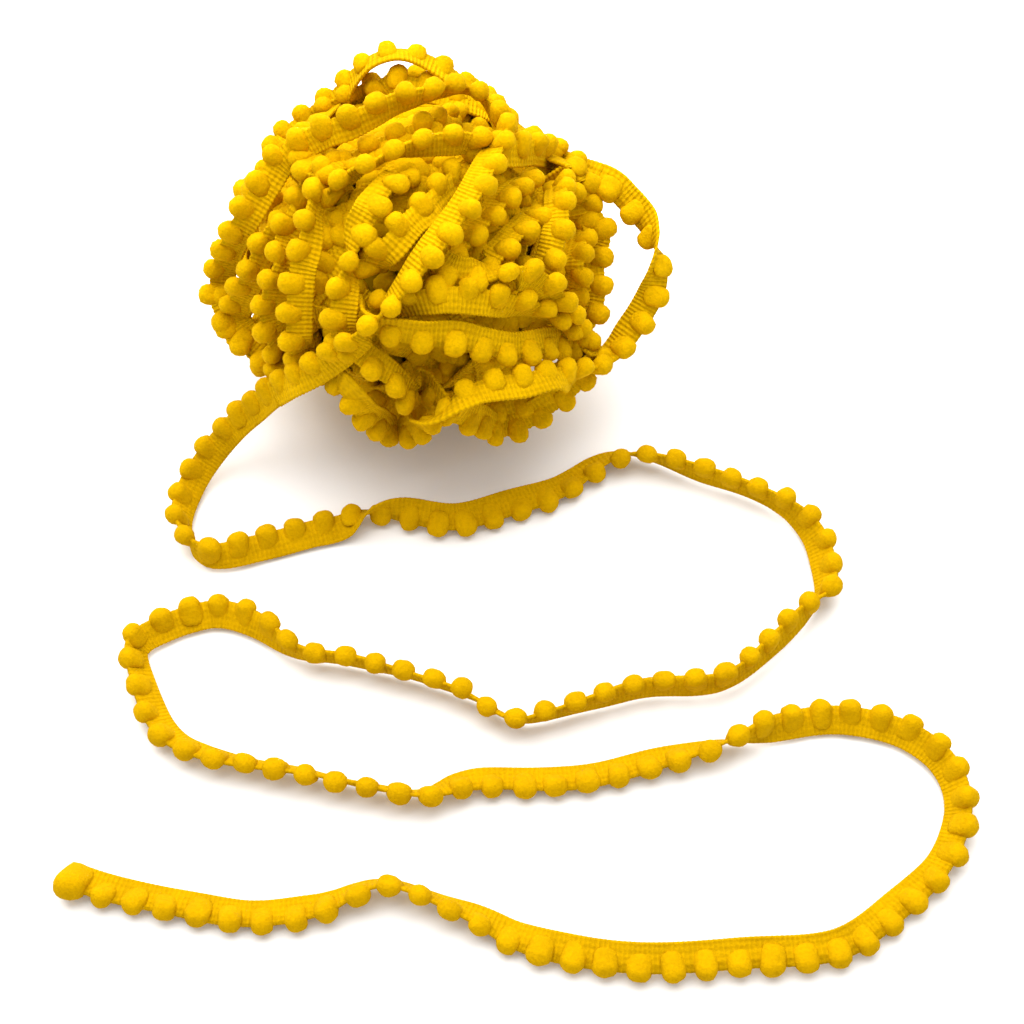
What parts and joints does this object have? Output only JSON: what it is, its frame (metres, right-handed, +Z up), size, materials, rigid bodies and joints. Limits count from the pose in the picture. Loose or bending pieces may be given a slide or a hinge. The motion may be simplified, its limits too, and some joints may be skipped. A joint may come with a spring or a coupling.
{
  "type": "pompom fringe trim",
  "caption": "Pompom fringe trim wound into a loose ball, with one stray loop off its side and a long tail laid out in bends in front of it.",
  "frame": {"origin": "middle of the ball's flat spot, on the surface it rests on", "axes": "+Z up from the surface, -Y the way the tail runs out from the ball, +X to the right of the tail's bends"},
  "size_m": [0.1925, 0.2081, 0.0809],
  "materials": {
    "pompom_yarn": "soft brushed yarn",
    "tape_knit": "matt knitted tape"
  },
  "bodies": {
    "root": {"ball": "pompom_yarn", "loop_pompoms_01": "pompom_yarn", "loop_pompoms_02": "pompom_yarn", "loop_pompoms_03": "pompom_yarn", "loop_tape": "tape_knit", "tail_pompoms_01": "pompom_yarn", "tail_pompoms_02": "pompom_yarn", "tail_pompoms_03": "pompom_yarn", "tail_pompoms_04": "pompom_yarn", "tail_pompoms_05": "pompom_yarn", "tail_pompoms_06": "pompom_yarn", "tail_pompoms_07": "pompom_yarn", "tail_pompoms_08": "pompom_yarn", "tail_pompoms_09": "pompom_yarn", "tail_pompoms_10": "pompom_yarn", "tail_pompoms_11": "pompom_yarn", "tail_pompoms_12": "pompom_yarn", "tail_pompoms_13": "pompom_yarn", "tail_pompoms_14": "pompom_yarn", "tail_pompoms_15": "pompom_yarn", "tail_pompoms_16": "pompom_yarn", "tail_pompoms_17": "pompom_yarn", "tail_pompoms_18": "pompom_yarn", "tail_pompoms_19": "pompom_yarn", "tail_pompoms_20": "pompom_yarn", "tail_pompoms_21": "pompom_yarn", "tail_pompoms_22": "pompom_yarn", "tail_pompoms_23": "pompom_yarn", "tail_pompoms_24": "pompom_yarn", "tail_pompoms_25": "pompom_yarn", "tail_pompoms_26": "pompom_yarn", "tail_pompoms_27": "pompom_yarn", "tail_pompoms_28": "pompom_yarn", "tail_pompoms_29": "pompom_yarn", "tail_pompoms_30": "pompom_yarn", "tail_pompoms_31": "pompom_yarn", "tail_tape": "tape_knit"}
  },
  "joints": []
}
